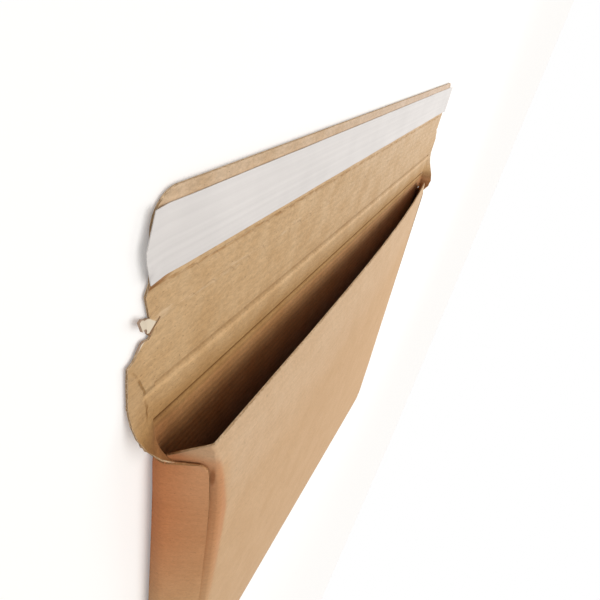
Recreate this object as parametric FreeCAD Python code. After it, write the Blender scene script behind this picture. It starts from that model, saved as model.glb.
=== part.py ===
import FreeCAD, Part
import math
import os

# A board envelope lying on its back panel, its mouth open.  Millimetres, +Z up.
# X runs along the mouth, Y from the closed end to the flap, and z = 0 is the floor.
# The board is one folded sheet, so it is one solid; each fold is a rounded bend.

V = FreeCAD.Vector

# ---- sizes of the board ------------------------------------------------------------
WIDTH = 353.0            # outside width of the folded body
LENGTH = 250.0           # closed end to the flap's crease
BOARD = 1.5              # E-flute board
FOLD = 1.2               # inside radius of a fold
SPINE = 15.0             # band between the two creases that carry the flap
FLAP = 58.0              # second crease to the flap's free edge
FLAP_CORNER = 9.5        # radius of the flap's free corners
END_WALL = 13.0          # height of the closed end, outside
SIDE_WALL = 16.5         # width of the glued side strips
SOFT_NEAR = 4.0          # how much the near side fold's radius grows in the swollen pocket
DRAW_NEAR = 1.2          # how far the near side is drawn in
SETTLE = 11.0            # how soon below the first crease they settle to that
FADE = 5.0               # how late they fade out again towards the closed end
MOUTH_NEAR = 70.0        # angle of the side strip at the open end of the mouth, degrees
MOUTH_FAR = 20.0         # angle of the side strip where the mouth has closed
CLOSING = 3.0            # how late the front panel starts to drop: 1 is a straight drop
PANEL_POINTS = 12        # points that its curve passes
MOUTH_SETBACK = 4.0      # front edge below the first crease
STRIP_SLANT = 9.0        # how much further the side strip's edge drops at its crease

# ---- side tabs, glued over the strips ----------------------------------------------
GLUE = 0.15              # film between a tab and the strip it covers
TAB_SETBACK = 14.0       # top of the tab below the first crease, at its fold
TAB_RISE = 1.8           # how much higher it is at its free corner
TAB_CORNER = 3.0         # radius of that free corner
TAB_SHORT = 3.0          # tab ends this far before the front panel's fold
TAB_ROOT = 2.0           # flat run of the tab inside the back panel
END_RELIEF = 6.0         # strips and tabs stop this far above the closed end
CORNER_GAP = 1.0         # play between the end wall's flange and the strips
SPANS = 9                # straight-ruled spans that make up a wall or the front panel
CROWDING = 1.6           # how much the spans crowd to the mouth: 1 is even

# ---- ears beside the creases -------------------------------------------------------
EAR = 10.7               # width of an ear, from the side fold
EAR_TOP = 37.0           # top of the ear above the first crease
EAR_RISE = 13.0          # its rounded lower end starts this far above the first crease
EAR_BEVEL = 6.3          # drop of its slanted top edge
EAR_FLAT = 22.0          # height above the first crease where it starts to turn up
EAR_TWIST = 2.9          # how late it turns up: 1 is an even twist
EAR_LEVEL = 1.0          # degrees it keeps where it looks flat
EAR_BELLY = (0.62, 0.3)  # its rounded lower end passes here, as shares of its width and height
EAR_SPANS = 12           # ruled spans that make up its skin

# ---- creases, tear lines and pull tab ----------------------------------------------
CREASE_WIDE = 2.4        # width of a pressed crease
CREASE_DEEP = 0.7        # depth of a pressed crease
TEAR_LOW = 23.5          # lower tear line above the second crease
TEAR_HIGH = 33.3         # upper tear line above the second crease
TEAR_PITCH = 10.0        # spacing of the hooked cuts
TEAR_DASH = 6.6          # straight part of one cut
TEAR_HOOK = 2.0          # hooked part of one cut
TEAR_CUT = 0.3           # width of a cut
TEAR_INSET = 9.0         # first cut from the flap's side
PULL_TAB = 4.6           # width of the pull tab, and how far it sticks out
PULL_LIFT = 20.0         # degrees it is bent up
PULL_SLIT = 4.0          # length of the slits either side of it
PULL_ROOT = 1.0          # how far it runs out flat before it bends up

# ---- adhesive and liner ------------------------------------------------------------
LINER_MARGIN = 3.5       # board left bare at the flap's free edge
LINER_WIDE = 19.0        # release liner
LINER_THICK = 0.25
LINER_OVER = 2.0         # liner past the flap's sides
LINER_LIFT = 7.0         # degrees its loose ends lift
ADHESIVE_WIDE = 16.0
ADHESIVE_THICK = 0.15
ADHESIVE_SHORT = 6.5     # adhesive ends this far inside the flap's sides
PULL_BEND = 20.0         # radius of the liner's soft bend

half = BOARD / 2.0
fold_mid = FOLD + half                       # radius of a fold at mid thickness
side_x = WIDTH / 2.0
crease_x = side_x - FOLD - BOARD             # where the side fold starts
ply_step = BOARD + GLUE                      # strip to tab, mid to mid
crease_2 = SPINE
flap_edge = SPINE + FLAP
end_y = -LENGTH
end_mid = END_WALL - half                    # mid height of the end wall's flange
strip_end = end_y + END_RELIEF
tab_top = TAB_RISE - TAB_SETBACK


# ---- folded strips -----------------------------------------------------------------
def sub(p, q):
    return (p[0] - q[0], p[1] - q[1])


def unit(p):
    n = math.hypot(*p)
    return (p[0] / n, p[1] / n)


def along(p, d, s):
    return (p[0] + d[0] * s, p[1] + d[1] * s)


def left(d):
    return (-d[1], d[0])


def bend(p, v, q, radius):
    """The fold at v between p and q: its tangent points, centre and turning side."""
    a, b = unit(sub(v, p)), unit(sub(q, v))
    turn = math.atan2(a[0] * b[1] - a[1] * b[0], a[0] * b[0] + a[1] * b[1])
    reach = radius * math.tan(abs(turn) / 2.0)
    side = 1.0 if turn > 0 else -1.0
    start, stop = along(v, a, -reach), along(v, b, reach)
    centre = along(start, left(a), radius * side)
    return start, stop, centre, side, a, b, unit(sub(v, centre))


def bend_edge(fold, radius, off, put):
    """One face of a fold, off to the left of the sheet's mid line."""
    start, stop, centre, side, a, b, out = fold
    r = radius - off * side
    return Part.Arc(put(along(start, left(a), off)), put(along(centre, out, r)),
                    put(along(stop, left(b), off))).toShape()


def sheet_wire(path, radii, thick, put):
    """Closed outline of a folded sheet seen edge on; path is its mid line."""
    folds = [bend(path[i], path[i + 1], path[i + 2], r) for i, r in enumerate(radii)]
    faces = []
    for off in (thick / 2.0, -thick / 2.0):
        first = unit(sub(path[1], path[0]))
        last = unit(sub(path[-1], path[-2]))
        here = put(along(path[0], left(first), off))
        run = []
        for fold, r in zip(folds, radii):
            to = put(along(fold[0], left(fold[4]), off))
            run.append(Part.makeLine(here, to))
            run.append(bend_edge(fold, r, off, put))
            here = put(along(fold[1], left(fold[5]), off))
        tip = put(along(path[-1], left(last), off))
        run.append(Part.makeLine(here, tip))
        faces.append((run, put(along(path[0], left(first), off)), tip))
    (one, s1, e1), (two, s2, e2) = faces
    return Part.Wire(one + [Part.makeLine(e1, e2)] + two[::-1] + [Part.makeLine(s2, s1)])


def at_y(y, mirror=1.0):
    return lambda p: V(mirror * p[0], y, p[1])


def outline(points, put, arcs=None):
    """Flat face from point to point; arcs[i] is where the round stretch after point i passes."""
    edges = []
    for i, a in enumerate(points):
        b = points[(i + 1) % len(points)]
        if arcs and i in arcs:
            edges.append(Part.Arc(put(a), put(arcs[i]), put(b)).toShape())
        else:
            edges.append(Part.makeLine(put(a), put(b)))
    return Part.Face(Part.Wire(edges))


def prism(points, low, high, arcs=None):
    """Upright prism over a plan outline."""
    return outline(points, lambda p: V(p[0], p[1], low), arcs).extrude(V(0, 0, high - low))


def along_y(path, radii, thick, y0, y1):
    face = Part.Face(sheet_wire(path, radii, thick, at_y(y0)))
    return face.extrude(V(0, y1 - y0, 0))


# ---- side wall: a strip of the front panel with a tab of the back panel over it ------
def side_wall(angle, fold_x=crease_x, radius=fold_mid):
    """Feet of the tab and the strip at the left side, and the way both run."""
    a = math.radians(angle)
    way, inward = (math.cos(a), math.sin(a)), (math.sin(a), -math.cos(a))
    tab = (-fold_x - radius * math.sin(a), half + radius * (1 + math.cos(a)))
    return tab, along(tab, inward, ply_step), way, inward


def end_angle():
    """Angle of the side walls at the closed end, where the front panel is END_WALL up."""
    low, high = 5.0, 89.0
    for _ in range(50):
        mid = (low + high) / 2.0
        tab, foot, way, inward = side_wall(mid)
        if along(foot, way, SIDE_WALL)[1] < end_mid:
            low = mid
        else:
            high = mid
    return (low + high) / 2.0


END_ANGLE = end_angle()


def settle(most, y):
    """Grows from nothing at the first crease to most, and fades out at the closed end."""
    low = max(0.0, -y)
    return most * (1.0 - math.exp(-low / SETTLE)) * (1.0 - min(1.0, low / -strip_end) ** FADE)


class Side:
    """One side of the pocket: how its fold and its wall run along the length."""

    def __init__(self, at_mouth, soft=0.0, draw=0.0):
        self.at_mouth = at_mouth
        self.soft = soft
        self.draw = draw

    def radius(self, y):
        """A swollen pocket rounds its side folds."""
        return fold_mid + settle(self.soft, y)

    def fold_x(self, y):
        """Where the fold starts on the back panel; the pocket draws its sides in a little."""
        rounding = self.radius(y) - fold_mid
        return crease_x - rounding - settle(self.draw, y)

    def angle(self, y):
        share = max(0.0, (-MOUTH_SETBACK - y) / (-MOUTH_SETBACK - strip_end))
        return self.at_mouth + (END_ANGLE - self.at_mouth) * share

    def wall(self, y):
        return side_wall(self.angle(y), self.fold_x(y), self.radius(y))

    def corner(self, y):
        tab, foot, way, inward = self.wall(y)
        return along(foot, way, SIDE_WALL)

    def strip_start(self, y):
        """The strip starts just clear of the back panel's inside face."""
        tab, foot, way, inward = self.wall(y)
        low = along(foot, inward, half)[1]
        return along(foot, way, max(0.0, (BOARD + GLUE - low) / way[1]))


near_side = Side(MOUTH_NEAR, SOFT_NEAR, DRAW_NEAR)
far_side = Side(MOUTH_FAR)


def front_section(y):
    """Strip, front panel and strip in one outline, at one place along the length."""
    start, corner_1 = near_side.strip_start(y), near_side.corner(y)
    mirror = lambda p: (-p[0], p[1])
    stop, corner_2 = mirror(far_side.strip_start(y)), mirror(far_side.corner(y))
    span, drop = corner_2[0] - corner_1[0], corner_1[1] - corner_2[1]
    slope_2 = unit((span, -CLOSING * drop))
    fold_1 = bend(start, corner_1, along(corner_1, (1.0, 0.0), 10.0), fold_mid)
    fold_2 = bend(along(corner_2, slope_2, -10.0), corner_2, stop, fold_mid)
    put = at_y(y)

    def front_edge(off):
        """The panel's face between the folds; it drops late, so the mouth stays open."""
        x0, x1 = fold_1[1][0], fold_2[0][0]
        pts = [put(along(fold_1[1], left(fold_1[5]), off))]
        for i in range(1, PANEL_POINTS):
            x = x0 + (x1 - x0) * i / PANEL_POINTS
            f = (x - corner_1[0]) / span
            way = unit((span, -CLOSING * drop * f ** (CLOSING - 1.0)))
            pts.append(put(along((x, corner_1[1] - drop * f ** CLOSING), left(way), off)))
        pts.append(put(along(fold_2[0], left(fold_2[4]), off)))
        curve = Part.BSplineCurve()
        curve.interpolate(pts)
        return curve.toShape()

    runs = []
    for off in (half, -half):
        a, b = fold_1[4], fold_2[5]
        tip_1, tip_2 = put(along(start, left(a), off)), put(along(stop, left(b), off))
        runs.append(([Part.makeLine(tip_1, put(along(fold_1[0], left(a), off))),
                      bend_edge(fold_1, fold_mid, off, put), front_edge(off),
                      bend_edge(fold_2, fold_mid, off, put),
                      Part.makeLine(put(along(fold_2[1], left(b), off)), tip_2)],
                     tip_1, tip_2))
    (one, s1, e1), (two, s2, e2) = runs
    return Part.Wire(one + [Part.makeLine(e1, e2)] + two[::-1] + [Part.makeLine(s2, s1)])


def turned_up(side, y, angle, width, mirror):
    """Section of a tab or an ear: a flat root, the side fold, and a width beyond it."""
    fold_x, radius = side.fold_x(y), side.radius(y)
    tab, foot, way, inward = side_wall(angle, fold_x, radius)
    reach = radius * math.tan(math.radians(180.0 - angle) / 2.0)
    corner = (-fold_x - reach, half)
    return sheet_wire([(-fold_x + TAB_ROOT, half), corner, along(tab, way, width)],
                      [radius], BOARD, at_y(y, mirror))


def places():
    """Places along the length, close together near the mouth.  Tab and front panel share
    them, so the glue between the two keeps its thickness over every ruled span."""
    return [tab_top + (strip_end - tab_top) * (i / SPANS) ** CROWDING for i in range(SPANS + 1)]


def wall_cutter(points, wall, mirror, arcs=None):
    """Cuts a wall square to its face; points are (along the wall, along Y) from its foot."""
    tab, foot, way, inward = wall

    def put(point):
        p = along(along(foot, way, point[0]), inward, ply_step)
        return V(mirror * p[0], point[1], p[1])

    push = 4.0 * ply_step
    return outline(points, put, arcs).extrude(V(-mirror * inward[0] * push, 0, -inward[1] * push))


def side_parts(side, mirror):
    """One tab, and the cutter that slants the strip's edge at the mouth."""
    low, high = -TAB_SETBACK, tab_top
    reach, clear = SIDE_WALL - TAB_SHORT, 3.0 * TAB_SHORT
    tab = Part.makeLoft([turned_up(side, y, side.angle(y), reach, mirror)
                         for y in places()], True, True)
    wall = side.wall(low)
    cut = TAB_CORNER * (1.0 - math.sqrt(0.5))
    ring = [(0.0, low), (reach - TAB_CORNER, high), (reach, high - TAB_CORNER),
            (reach + clear, high - TAB_CORNER), (reach + clear, high + clear),
            (0.0, high + clear)]
    cutter = wall_cutter(ring, wall, mirror, {1: (reach - cut, high - cut)})
    foot_z = wall[0][1]
    under = Part.makeBox(WIDTH, TAB_RISE + clear, foot_z + BOARD, V(-side_x, low, -BOARD))
    tab = tab.cut([cutter, under])
    edge, deep = -MOUTH_SETBACK, -MOUTH_SETBACK - STRIP_SLANT
    inner, outer, above = -clear, SIDE_WALL - fold_mid, edge + BOARD
    slant = wall_cutter([(inner, deep), (0.0, deep), (outer, edge), (outer, above),
                         (inner, above)], side.wall((edge + deep) / 2.0), mirror)
    return tab, slant


def ear(side, mirror):
    """The side flap beside the creases: flat at its top, turned up at its lower end."""
    sections = []
    most = 180.0 - side.angle(-TAB_SETBACK)
    for i in range(EAR_SPANS + 1):
        y = -TAB_SETBACK + (EAR_TOP + TAB_SETBACK) * i / EAR_SPANS
        share = max(0.0, (EAR_FLAT - y) / (EAR_FLAT + TAB_SETBACK)) ** EAR_TWIST
        lift = max(EAR_LEVEL, most * share)
        radius = side.radius(y)
        width = EAR + radius - fold_mid - radius * math.radians(lift)
        sections.append(turned_up(side, y, 180.0 - lift, width, mirror))
    strip = Part.makeLoft(sections, True, True)
    p = lambda x, y: (mirror * (-crease_x - x), y)
    low, drawn, room = -TAB_SETBACK, side.soft + side.draw, 2.0 * EAR
    ring = [p(-room, low), p(-drawn, low), p(EAR, EAR_RISE), p(EAR, EAR_TOP - EAR_BEVEL),
            p(0, EAR_TOP), p(-room, EAR_TOP)]
    belly = p(EAR * EAR_BELLY[0], low + (EAR_RISE - low) * EAR_BELLY[1])
    return prism(ring, -BOARD, room, {1: belly}).common(strip)


# ---- back panel, spine band and flap --------------------------------------------------
def side_edge(side, mirror):
    """The flat sheet's side: the drawn-in fold, straight by the ear, then the flap."""
    r = FLAP_CORNER
    k = r * (1.0 - math.sqrt(0.5))
    p = lambda x, y: V(mirror * -x, y, 0.0)
    fold = Part.BSplineCurve()
    root = TAB_ROOT / 2.0            # the sheet's side stops inside the roots of tab and ear
    fold.interpolate([p(side.fold_x(y) - root, y) for y in places()[::-1] + [0.0]])
    ring = [(crease_x - root, 0.0), (crease_x - root, EAR_TOP), (side_x, EAR_TOP),
            (side_x, flap_edge - r)]
    lines = [Part.makeLine(p(*a), p(*b)) for a, b in zip(ring, ring[1:])]
    corner = Part.Arc(p(side_x, flap_edge - r), p(side_x - k, flap_edge - k),
                      p(side_x - r, flap_edge))
    return [fold.toShape()] + lines + [corner.toShape()]


def flat_sheet():
    near, far = side_edge(near_side, 1.0), side_edge(far_side, -1.0)
    ends = [Part.makeLine(near[-1].Vertexes[-1].Point, far[-1].Vertexes[-1].Point),
            Part.makeLine(far[0].Vertexes[0].Point, near[0].Vertexes[0].Point)]
    wire = Part.Wire(Part.__sortEdges__(near + far + ends))
    return Part.Face(wire).extrude(V(0, 0, BOARD))


def end_channel(flange_x):
    """Closed end: the board turns up from the back panel and over into the front."""
    path = [(strip_end, half), (end_y + half, half), (end_y + half, end_mid),
            (strip_end, end_mid)]
    put = lambda p: V(-crease_x, p[0], p[1])
    face = Part.Face(sheet_wire(path, [fold_mid, fold_mid], BOARD, put))
    channel = face.extrude(V(2.0 * crease_x, 0, 0))
    wide, high = side_x + BOARD, END_WALL + BOARD
    for m in (-1.0, 1.0):
        ends = [(wide, BOARD), (crease_x, BOARD), (flange_x, end_mid - half),
                (flange_x, high), (wide, high)]
        pts = [V(m * x, end_y - BOARD, z) for x, z in ends]
        wedge = Part.Face(Part.makePolygon(pts + [pts[0]]))
        channel = channel.cut(wedge.extrude(V(0, 2.0 * (END_RELIEF + BOARD), 0)))
    return channel


def pull_tab():
    lift = math.radians(PULL_LIFT)
    knee = (-side_x - PULL_ROOT, half)
    path = [(-side_x, half), knee, along(knee, (-math.cos(lift), math.sin(lift)), PULL_TAB)]
    low = crease_2 + TEAR_LOW
    return along_y(path, [fold_mid], BOARD, low, low + PULL_TAB)


def pull_slits():
    low = crease_2 + TEAR_LOW
    x0, x1 = -side_x - PULL_ROOT, -side_x + PULL_SLIT
    return [prism([(x0, y), (x1, y), (x1, y + TEAR_CUT), (x0, y + TEAR_CUT)], -BOARD, 2.0 * BOARD)
            for y in (low - TEAR_CUT, low + PULL_TAB)]


def tear_row(y):
    """Hooked through cuts; the sheet tears from one hook to the next."""
    room = WIDTH - 2.0 * TEAR_INSET
    count = int(room // TEAR_PITCH)
    start = -count * TEAR_PITCH / 2.0
    c, h = TEAR_CUT, TEAR_HOOK
    cuts = []
    for i in range(count):
        x = start + i * TEAR_PITCH
        cuts.append(prism([(x, y), (x + TEAR_DASH, y), (x + TEAR_DASH + h, y - h),
                           (x + TEAR_DASH + h + c, y - h + c * 0.3),
                           (x + TEAR_DASH + c * 0.4, y + c), (x, y + c)],
                          -BOARD, 2.0 * BOARD))
    return cuts


def crease(y):
    """A round-bottomed trough pressed into the inside face."""
    r = (CREASE_WIDE ** 2 / 4.0 + CREASE_DEEP ** 2) / (2.0 * CREASE_DEEP)
    return Part.makeCylinder(r, 2.0 * crease_x, V(-crease_x, y, BOARD - CREASE_DEEP + r),
                             V(1, 0, 0))


# ---- the folded board -----------------------------------------------------------------
front = Part.makeLoft([front_section(y) for y in [-MOUTH_SETBACK] + places()], True, True)
near_tab, near_slant = side_parts(near_side, 1.0)
far_tab, far_slant = side_parts(far_side, -1.0)
front = front.cut(near_slant).cut(far_slant)

flange_x = -near_side.corner(strip_end)[0] - fold_mid - CORNER_GAP
board = flat_sheet().fuse([end_channel(flange_x), front, near_tab, far_tab,
                           ear(near_side, 1.0), ear(far_side, -1.0), pull_tab()])
cuts = tear_row(crease_2 + TEAR_LOW) + tear_row(crease_2 + TEAR_HIGH) + pull_slits()
board = board.cut(cuts + [crease(0.0), crease(crease_2)])
board = board.removeSplitter().Solids[0]

# ---- adhesive and the liner over it ----------------------------------------------------
liner_low = flap_edge - LINER_MARGIN - LINER_WIDE
inset = (LINER_WIDE - ADHESIVE_WIDE) / 2.0
glue_x = side_x - ADHESIVE_SHORT
adhesive = Part.makeBox(2.0 * glue_x, ADHESIVE_WIDE, ADHESIVE_THICK,
                        V(-glue_x, liner_low + inset, BOARD))

liner_z = BOARD + ADHESIVE_THICK + LINER_THICK / 2.0
lift = math.radians(LINER_LIFT)
soft = PULL_BEND * math.tan(lift / 2.0)
knee_x = glue_x + soft
loose = (side_x + LINER_OVER - knee_x) / math.cos(lift)
liner_path = [(-knee_x - loose * math.cos(lift), liner_z + loose * math.sin(lift)),
              (-knee_x, liner_z), (knee_x, liner_z),
              (knee_x + loose * math.cos(lift), liner_z + loose * math.sin(lift))]
liner = along_y(liner_path, [PULL_BEND, PULL_BEND], LINER_THICK,
                liner_low, liner_low + LINER_WIDE)

# ---- into the shared frame: centre of the box, on the floor ----------------------------
shift = V(0, (LENGTH - flap_edge) / 2.0, 0)
os.makedirs("parts", exist_ok=True)
for name, shape in (("board", board), ("adhesive_strip", adhesive), ("release_liner", liner)):
    shape.translate(shift)
    box = shape.BoundBox
    print(name, shape.ShapeType, len(shape.Solids), "solid, valid", shape.isValid(),
          "volume", round(shape.Volume, 1),
          "box", [round(v, 2) for v in (box.XMin, box.XMax, box.YMin, box.YMax, box.ZMin, box.ZMax)])
    shape.exportStep("parts/" + name + ".step")
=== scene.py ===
# %% [markdown]
# # A rigid board envelope with its mouth open
#
# The object is a mailer folded from one sheet of corrugated board. It lies on its back
# panel with the flap flat behind it, and the front panel stands up at one side so that
# you can look into the pocket. On the flap there is a strip of adhesive under a white
# release liner, with two rows of tear cuts and a small pull tab below it.
#
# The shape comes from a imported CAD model, loaded as a fixed frame. It could be modelled
# here from the start, but then looks and solids would drift apart. So this script only
# gives it what CAD doesn't hold: paper, fibres, fluted edges, a soft liner and some wear,
# and then light and a camera.

# %% Load the frame and note its size
import math

import bmesh
import bpy
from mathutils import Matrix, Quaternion, Vector, noise
from mathutils.bvhtree import BVHTree


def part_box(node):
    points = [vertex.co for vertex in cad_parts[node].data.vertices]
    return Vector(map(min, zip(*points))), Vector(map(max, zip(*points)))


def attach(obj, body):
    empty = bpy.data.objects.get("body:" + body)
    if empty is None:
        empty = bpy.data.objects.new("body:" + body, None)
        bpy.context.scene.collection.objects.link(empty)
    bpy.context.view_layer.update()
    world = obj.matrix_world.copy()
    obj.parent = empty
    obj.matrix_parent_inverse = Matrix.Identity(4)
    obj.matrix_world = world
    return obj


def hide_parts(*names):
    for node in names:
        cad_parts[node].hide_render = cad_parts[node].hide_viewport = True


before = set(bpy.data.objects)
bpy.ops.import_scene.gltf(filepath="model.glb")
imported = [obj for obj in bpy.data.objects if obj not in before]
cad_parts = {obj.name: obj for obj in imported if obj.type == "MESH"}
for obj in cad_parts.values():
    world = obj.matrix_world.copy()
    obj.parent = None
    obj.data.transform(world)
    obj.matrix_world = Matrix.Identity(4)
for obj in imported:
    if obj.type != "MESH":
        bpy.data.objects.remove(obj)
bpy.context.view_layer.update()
MM = 0.001
scene = bpy.context.scene
scene.view_settings.view_transform = "Standard"


# %% [markdown]
# ## The camera
#
# The view is close and low, from beyond the flap's near corner, and it is turned on its
# side: the flap's free edge is up and the pocket is down. A camera is easiest to read as
# a place, a point it aims at, a roll about that line and a lens. A tracking constraint
# would aim it too, but it would fight the roll. So the turn is worked out once, and the
# roll is put on after the aim, about the camera's own axis.

# %% Camera
CAMERA_PLACE = Vector((-0.2571, 0.2049, 0.0675))
CAMERA_AIM = Vector((-0.0630, 0.0753, 0.0))
CAMERA_ROLL = math.radians(113.0)
CAMERA_LENS = 29.55
SENSOR_WIDTH = 36.0
NEAREST_SEEN = 5.0 * MM

camera = bpy.data.objects.new("camera", bpy.data.cameras.new("camera"))
scene.collection.objects.link(camera)
camera.data.lens = CAMERA_LENS
camera.data.sensor_width = SENSOR_WIDTH
camera.data.clip_start = NEAREST_SEEN
camera.location = CAMERA_PLACE
aim = (CAMERA_AIM - CAMERA_PLACE).to_track_quat("-Z", "Y")
camera.rotation_mode = "QUATERNION"
camera.rotation_quaternion = aim @ Quaternion((0.0, 0.0, 1.0), CAMERA_ROLL)
scene.camera = camera
print("camera is", round((CAMERA_AIM - CAMERA_PLACE).length, 3), "m from where it aims")


# %% [markdown]
# ## Light
#
# Board shows its colour best in broad, soft light. A ring of panels would give that too,
# but each would have to be placed and weighed against the others. Here a bright sky on all
# sides gives part of the light, and one wide lamp, high and beyond the flap, gives the
# rest. It looks into the mouth: each crease gets a dark wall and a lit wall, and the
# pocket is lit a finger deep before it falls into shade. A softer panel over the far end
# makes that end a little brighter. The sky is plain white where the camera sees it, in a
# gloss too, which costs the object no light.

# %% Light
SKY_STRENGTH = 0.42
SKY_COLOUR = (1.0, 0.985, 0.965, 1.0)
LAMP_COLOUR = (1.0, 0.985, 0.96)
LAMP_IRRADIANCE = 1.70
LAMP_ANGLE = math.radians(60.0)
LAMP_FROM = Vector((-0.10, 0.22, 1.0))
PANEL_PLACE = Vector((0.30, 0.05, 0.42))
PANEL_WATTS = 0.5
PANEL_SIZE = 0.3

world = bpy.data.worlds.new("studio")
scene.world = world
world.use_nodes = True
nodes, links = world.node_tree.nodes, world.node_tree.links
nodes.clear()
out = nodes.new("ShaderNodeOutputWorld")
seen = nodes.new("ShaderNodeBackground")
seen.inputs["Color"].default_value = (1.0, 1.0, 1.0, 1.0)
seen.inputs["Strength"].default_value = 1.0
sky = nodes.new("ShaderNodeBackground")
sky.inputs["Color"].default_value = SKY_COLOUR
sky.inputs["Strength"].default_value = SKY_STRENGTH
ray = nodes.new("ShaderNodeLightPath")
plainly = ray.outputs["Is Camera Ray"]
for kind in ("Is Glossy Ray", "Is Transmission Ray"):
    either = nodes.new("ShaderNodeMath")
    either.operation = "MAXIMUM"
    links.new(plainly, either.inputs[0])
    links.new(ray.outputs[kind], either.inputs[1])
    plainly = either.outputs[0]
mix = nodes.new("ShaderNodeMixShader")
links.new(plainly, mix.inputs["Fac"])
links.new(sky.outputs[0], mix.inputs[1])
links.new(seen.outputs[0], mix.inputs[2])
links.new(mix.outputs[0], out.inputs["Surface"])

lamp = bpy.data.objects.new("lamp", bpy.data.lights.new("lamp", "SUN"))
lamp.data.energy = LAMP_IRRADIANCE
lamp.data.angle = LAMP_ANGLE
lamp.data.color = LAMP_COLOUR
lamp.rotation_mode = "QUATERNION"
lamp.rotation_quaternion = LAMP_FROM.to_track_quat("Z", "Y")
scene.collection.objects.link(lamp)

panel = bpy.data.objects.new("panel", bpy.data.lights.new("panel", "AREA"))
panel.data.energy = PANEL_WATTS
panel.data.size = PANEL_SIZE
panel.location = PANEL_PLACE
scene.collection.objects.link(panel)
print("lamp stands", round(math.degrees(LAMP_FROM.angle(Vector((0, 0, 1))))), "degrees off overhead")


# %% [markdown]
# ## Floor
#
# The envelope lies on a plain pale table. A curved backdrop would do, but behind the table
# the sky is white already, so one flat sheet is enough. It is matt and keeps the shadow. A
# little glow, which only the camera sees, lifts it to near white without lighting the
# object from below.

# %% Floor
FLOOR_SIZE = 12.0
FLOOR_COLOUR = (0.80, 0.79, 0.78, 1.0)
FLOOR_GLOW = 0.24

floor_mesh = bpy.data.meshes.new("floor")
grid = bmesh.new()
bmesh.ops.create_grid(grid, x_segments=1, y_segments=1, size=FLOOR_SIZE / 2.0)
grid.to_mesh(floor_mesh)
grid.free()
floor = bpy.data.objects.new("floor", floor_mesh)
scene.collection.objects.link(floor)

paint = bpy.data.materials.new("floor_paint")
paint.use_nodes = True
nodes, links = paint.node_tree.nodes, paint.node_tree.links
nodes.clear()
out = nodes.new("ShaderNodeOutputMaterial")
matte = nodes.new("ShaderNodeBsdfDiffuse")
matte.inputs["Color"].default_value = FLOOR_COLOUR
glow = nodes.new("ShaderNodeEmission")
glow.inputs["Color"].default_value = (1.0, 1.0, 1.0, 1.0)
ray = nodes.new("ShaderNodeLightPath")
lift = nodes.new("ShaderNodeMath")
lift.operation = "MULTIPLY"
lift.inputs[1].default_value = FLOOR_GLOW
both = nodes.new("ShaderNodeAddShader")
links.new(ray.outputs["Is Camera Ray"], lift.inputs[0])
links.new(lift.outputs[0], glow.inputs["Strength"])
links.new(matte.outputs[0], both.inputs[0])
links.new(glow.outputs[0], both.inputs[1])
links.new(both.outputs[0], out.inputs["Surface"])
floor_mesh.materials.append(paint)
print("floor is", FLOOR_SIZE, "m across, at z = 0")


# %% [markdown]
# ## Helpers for materials
#
# A node material is a small calculation that runs at every point of a surface. The same
# steps come up again and again: add a node with some plain values, wire one into another,
# mix two colours, find how far across a band a point lies. They could be laid by hand in
# the node editor, but then nobody can read them as text. Each is one short function here,
# so that a material further down reads as a list of what is on the paper.

# %% Small helpers for node trees
def add(tree, kind, **sockets):
    """A new node with plain values in its sockets; an underscore stands for a space."""
    node = tree.nodes.new(kind)
    for name, value in sockets.items():
        node.inputs[name.replace("_", " ")].default_value = value
    return node


def feed(tree, value, socket):
    """Put a number, a colour, a node or one of its outputs into a socket."""
    if isinstance(value, (int, float)):
        socket.default_value = value
    elif isinstance(value, tuple):
        socket.default_value = (*value, 1.0)
    else:
        output = value if isinstance(value, bpy.types.NodeSocket) else value.outputs[0]
        tree.links.new(output, socket)


def place(tree, scale=(1.0, 1.0, 1.0)):
    """Object coordinates in metres, times a scale on each axis."""
    mapping = add(tree, "ShaderNodeMapping", Scale=scale)
    feed(tree, add(tree, "ShaderNodeTexCoord").outputs["Object"], mapping.inputs["Vector"])
    return mapping


def axis(tree, letter):
    """One coordinate in metres."""
    split = add(tree, "ShaderNodeSeparateXYZ")
    feed(tree, place(tree), split.inputs["Vector"])
    return split.outputs[letter]


def cloud(tree, scale, size=1.0, detail=2.0, rough=0.5):
    """Noise over the object; scale stretches it, size is how many lumps to a metre."""
    noise_node = add(tree, "ShaderNodeTexNoise", Scale=size, Detail=detail, Roughness=rough)
    feed(tree, place(tree, scale), noise_node.inputs["Vector"])
    return noise_node.outputs["Fac"]


print("node helpers ready: add, feed, place, axis, cloud")


# %% [markdown]
# ## Sums, soft steps and mixed colours
#
# Most of a finish is a question of where: on the tear row, by the mouth, near the crease.
# A soft step answers it with a number from 0 to 1, and a mix of two colours takes that
# number as its amount. A colour ramp could do both, but its stops are shares of some
# length. A step is given its ends in millimetres, which you can check on the part.

# %% Sums, steps and mixes
def sums(tree, how, first, second=0.0, third=0.0):
    """A Math node on nodes or numbers."""
    node = tree.nodes.new("ShaderNodeMath")
    node.operation = how
    for socket, value in zip(node.inputs, (first, second, third)):
        feed(tree, value, socket)
    return node


def smooth(tree, source, low, high, first=0.0, last=1.0):
    """A soft step from first to last while the source goes from low to high."""
    node = tree.nodes.new("ShaderNodeMapRange")
    node.interpolation_type = "SMOOTHSTEP"
    for name, value in (("Value", source), ("From Min", low), ("From Max", high),
                        ("To Min", first), ("To Max", last)):
        feed(tree, value, node.inputs[name])
    return node


def band(tree, source, low, high, soft):
    """1 between low and high, fading to 0 over a soft width outside them."""
    return sums(tree, "MULTIPLY", smooth(tree, source, low - soft, low),
                smooth(tree, source, high, high + soft, 1.0, 0.0))


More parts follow.
